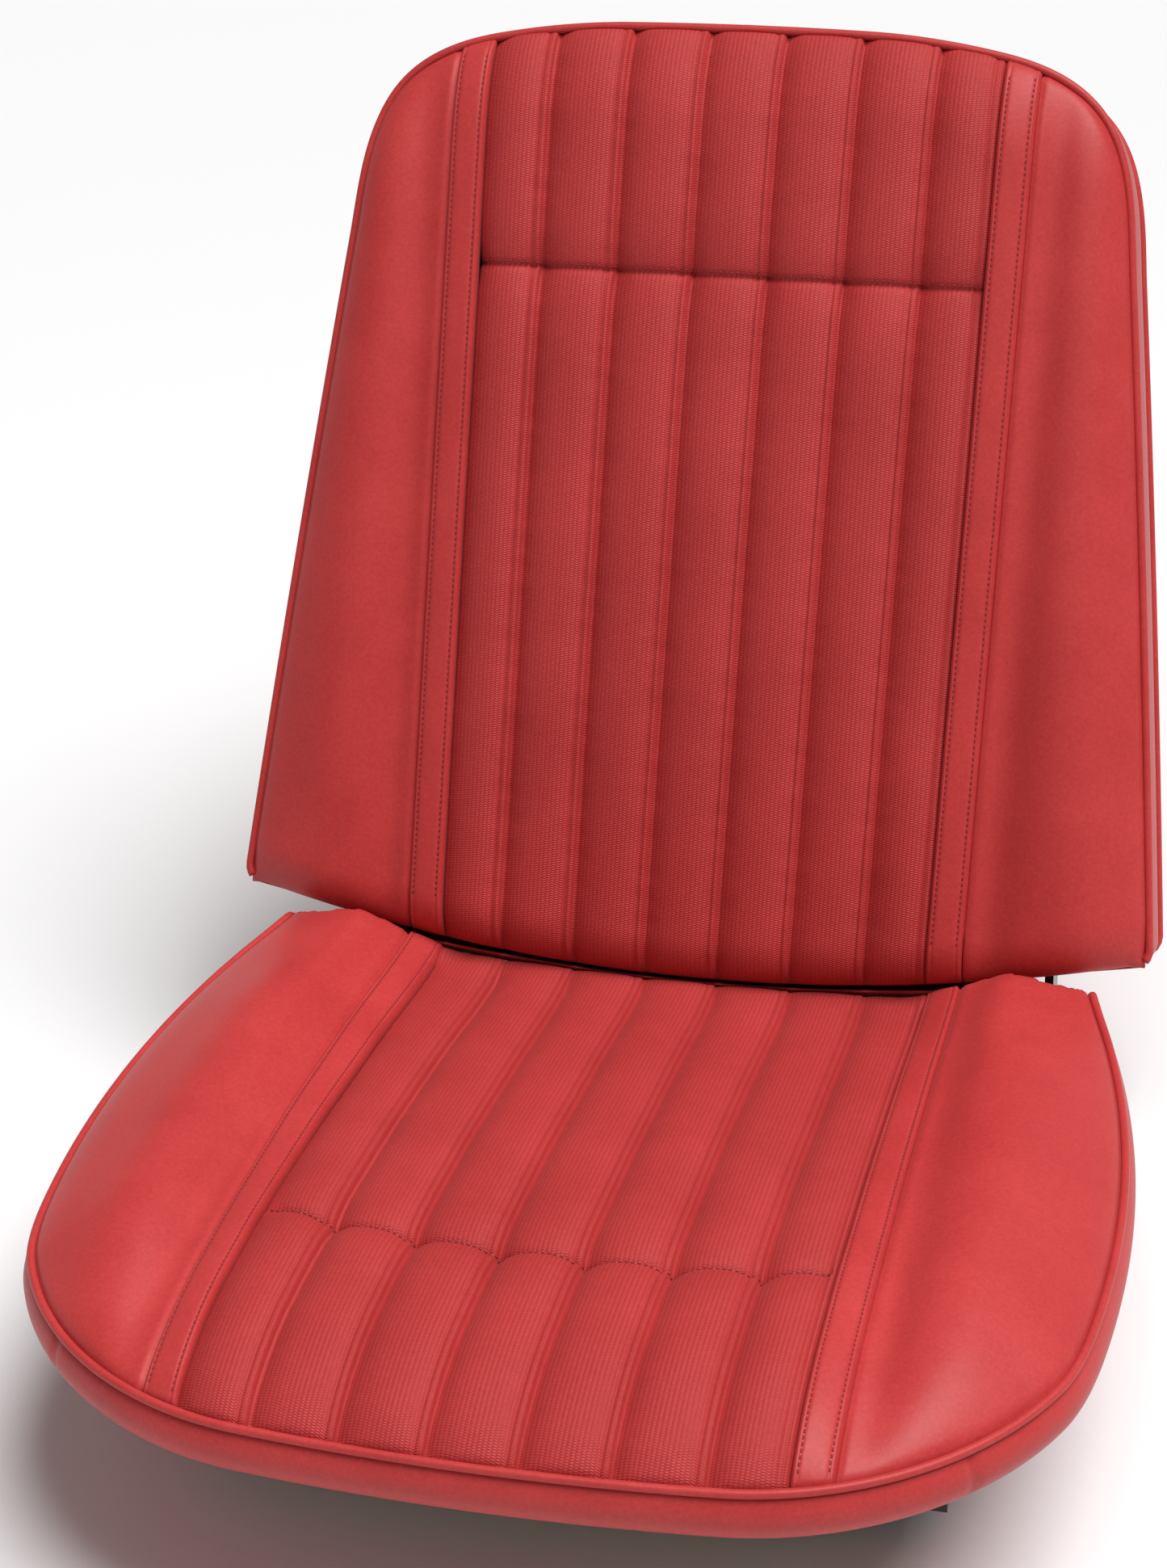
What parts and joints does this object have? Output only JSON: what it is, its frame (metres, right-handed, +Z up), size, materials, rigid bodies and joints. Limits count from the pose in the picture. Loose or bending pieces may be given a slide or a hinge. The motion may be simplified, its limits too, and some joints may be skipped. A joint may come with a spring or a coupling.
{
  "type": "bucket seat",
  "caption": "Low-back upholstered bucket seat with a pleated cushion, folding pleated backrest, sprung steel frame and sliding floor rails.",
  "frame": {"origin": "centre of the four floor bolt holes, on the floor", "axes": "+Z up, +Y towards the rear of the seat, +X to the viewer's right when facing the seat; the seat is symmetric about X = 0 apart from its release lever"},
  "size_m": [0.5598, 0.785, 0.5888],
  "materials": {
    "foam": "open-cell urethane foam, matt",
    "felt": "needled felt, matt",
    "pleated_vinyl": "red vinyl embossed with a fine rib, soft sheen",
    "plain_vinyl": "red vinyl with a fine leather grain, soft sheen",
    "piping_vinyl": "red vinyl piping, soft sheen",
    "spring_steel": "oil-blacked spring wire",
    "plated_steel": "zinc plated, satin",
    "black_paint": "semi-gloss black enamel",
    "nylon": "natural nylon",
    "grip_plastic": "black moulded grip"
  },
  "bodies": {
    "floor_rails": {"lower_rail_left": "black_paint", "lower_rail_right": "black_paint", "rail_foot_front_left": "black_paint", "rail_foot_front_right": "black_paint", "rail_foot_rear_left": "black_paint", "rail_foot_rear_right": "black_paint", "rail_end_stops": "black_paint"},
    "seat_frame": {"cushion_foam": "foam", "cushion_insert_cover": "pleated_vinyl", "cushion_band_left": "plain_vinyl", "cushion_bolster_left": "plain_vinyl", "cushion_band_right": "plain_vinyl", "cushion_bolster_right": "plain_vinyl", "cushion_skirt": "plain_vinyl", "cushion_welt": "piping_vinyl", "slider_left": "black_paint", "slider_right": "black_paint", "slide_shoes": "nylon", "frame_side_left": "black_paint", "frame_side_right": "black_paint", "frame_bolts": "plated_steel", "frame_cross_front": "black_paint", "frame_cross_rear": "black_paint", "hinge_arm_left": "black_paint", "hinge_arm_right": "black_paint", "hinge_bushes": "nylon", "cushion_springs": "spring_steel", "cushion_spring_clips": "plated_steel", "cushion_insulator": "felt", "border_wire": "spring_steel", "cover_clips": "plated_steel", "lever_pin": "plated_steel", "lever_spring": "spring_steel"},
    "release_lever": {"release_lever": "black_paint", "lever_grip": "grip_plastic"},
    "backrest": {"backrest_foam": "foam", "backrest_insert_cover": "pleated_vinyl", "backrest_boxing": "plain_vinyl", "backrest_front_welt": "piping_vinyl", "backrest_rear_welt": "piping_vinyl", "backrest_rear_panel": "plain_vinyl", "backrest_insulator": "felt", "backrest_band_left": "plain_vinyl", "backrest_bolster_left": "plain_vinyl", "backrest_band_right": "plain_vinyl", "backrest_bolster_right": "plain_vinyl", "back_post_left": "black_paint", "back_post_right": "black_paint", "back_cross_bottom": "black_paint", "back_cross_top": "black_paint", "back_ear_left": "black_paint", "back_ear_right": "black_paint", "back_springs": "spring_steel", "back_spring_clips": "plated_steel", "hinge_bolts": "plated_steel", "hinge_washers": "plated_steel", "hinge_nuts": "plated_steel"}
  },
  "joints": [
    {"name": "seat_slide", "type": "slide", "parent": "floor_rails", "child": "seat_frame", "axis": [0, 1, 0], "range_m": [-0.05, 0.05]},
    {"name": "backrest_fold", "type": "hinge", "parent": "seat_frame", "child": "backrest", "pos_m": [0, 0.182, 0.14], "axis": [1, 0, 0], "range_deg": [0, 45]},
    {"name": "release_lever", "type": "hinge", "parent": "seat_frame", "child": "release_lever", "pos_m": [0.2, -0.05, 0.042], "axis": [-1, 0, 0], "range_deg": [0, 7], "stiffness_Nm_per_rad": 3, "springref_deg": -11.46}
  ]
}
